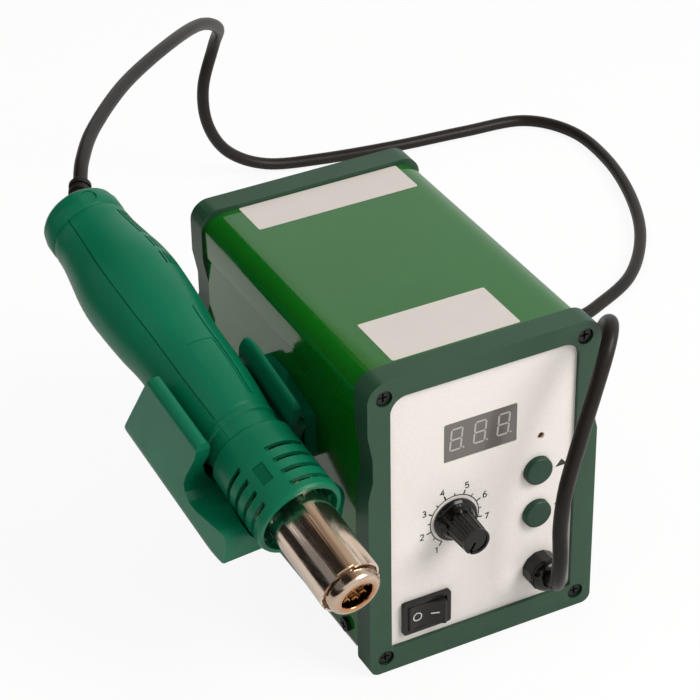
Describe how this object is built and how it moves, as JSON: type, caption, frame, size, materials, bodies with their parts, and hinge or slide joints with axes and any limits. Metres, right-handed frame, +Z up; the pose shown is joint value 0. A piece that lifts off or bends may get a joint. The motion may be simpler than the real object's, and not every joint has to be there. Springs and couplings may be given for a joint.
{
  "type": "hot air rework station",
  "caption": "Bench hot air station: a box with a dial, display, keys and power switch, a side cradle, and a handset with heat tube, blower grip and long cable.",
  "frame": {"origin": "middle of the case footprint on the bench, on the underside of the rubber pad", "axes": "+Z up, front panel faces -Y, +X to the right of someone facing the front; the handset lies along the left side"},
  "size_m": [0.3622, 0.4176, 0.1472],
  "materials": {
    "frame_green": "satin",
    "case_green": "gloss",
    "panel_white": "satin",
    "screw_black": "satin",
    "bright_steel": "satin",
    "heatsink_alloy": "satin",
    "black_satin": "satin",
    "black_gloss": "gloss",
    "button_green": "satin",
    "handle_green": "satin",
    "window_dark": "gloss",
    "board_green": "satin",
    "tube_chrome": "polished",
    "mica": "satin",
    "ceramic_dark": "matte",
    "copper": "satin",
    "trimmer_brass": "satin",
    "trimmer_blue": "gloss",
    "core_iron": "satin",
    "rubber_black": "satin"
  },
  "bodies": {
    "station": {"front_bezel": "frame_green", "rear_bezel": "frame_green", "case_cover": "case_green", "front_panel": "panel_white", "rear_panel": "panel_white", "front_screws": "screw_black", "rear_screws": "screw_black", "cover_screws": "screw_black", "base_tray": "bright_steel", "board_pillars": "bright_steel", "board_posts": "bright_steel", "pot_nut": "bright_steel", "pot_body": "bright_steel", "holder_screws": "bright_steel", "holder_magnet": "bright_steel", "heatsink": "heatsink_alloy", "rocker_frame": "black_satin", "tact_switches": "black_satin", "display_module": "black_satin", "gland_nut": "black_satin", "mains_nut": "black_satin", "board_parts": "black_satin", "cable_gland": "black_gloss", "mains_gland": "black_gloss", "holder": "handle_green", "display_window": "window_dark", "control_board": "board_green", "main_board": "board_green", "transformer_coil": "copper", "trimmer_body": "trimmer_blue", "transformer_core": "core_iron", "base_pad": "rubber_black", "cable": "rubber_black"},
    "dial": {"air_knob": "black_gloss", "pot_shaft": "bright_steel"},
    "up_key": {"up_button": "button_green"},
    "down_key": {"down_button": "button_green"},
    "power_rocker": {"rocker": "black_satin"},
    "cal_rotor": {"cal_trimmer": "trimmer_brass"},
    "handset": {"vent_collar": "handle_green", "heat_shield": "bright_steel", "tube_flange": "bright_steel", "heater_tube": "tube_chrome", "tube_end_ring": "tube_chrome", "mica_sleeve": "mica", "heater_core": "ceramic_dark", "heater_coil": "copper", "shell_inner": "handle_green", "shell_outer": "handle_green", "handle_screws": "screw_black", "tail_cap": "handle_green", "cable_boot": "rubber_black", "fan_housing": "black_satin", "fan_motor": "bright_steel", "handle_board": "board_green"},
    "fan": {"fan_impeller": "black_satin"}
  },
  "joints": [
    {"name": "dial_turn", "type": "hinge", "parent": "station", "child": "dial", "pos_m": [-0.0121, -0.0743, 0.0627], "axis": [0, 1, 0], "range_deg": [0, 297]},
    {"name": "up_press", "type": "slide", "parent": "station", "child": "up_key", "axis": [0, 1, 0], "range_m": [0, 0.0012], "stiffness_N_per_m": 1200, "springref_m": -0.0003},
    {"name": "down_press", "type": "slide", "parent": "station", "child": "down_key", "axis": [0, 1, 0], "range_m": [0, 0.0012], "stiffness_N_per_m": 1200, "springref_m": -0.0003},
    {"name": "power_rock", "type": "hinge", "parent": "station", "child": "power_rocker", "pos_m": [-0.0249, -0.0742, 0.0225], "axis": [0, 0, 1], "range_deg": [0, 20]},
    {"name": "cal_turn", "type": "hinge", "parent": "station", "child": "cal_rotor", "pos_m": [0.0256, -0.0731, 0.0883], "axis": [0, 1, 0], "range_deg": [-135, 135]},
    {"name": "handle_lift", "type": "slide", "parent": "station", "child": "handset", "axis": [0.025, -0.2745, 0.9613], "range_m": [0, 0.08], "deforming": ["cable"]},
    {"name": "fan_spin", "type": "hinge", "parent": "handset", "child": "fan", "pos_m": [-0.08668, 0.04364, 0.11747], "axis": [-0.0871, 0.9573, 0.2756], "continuous": true}
  ]
}
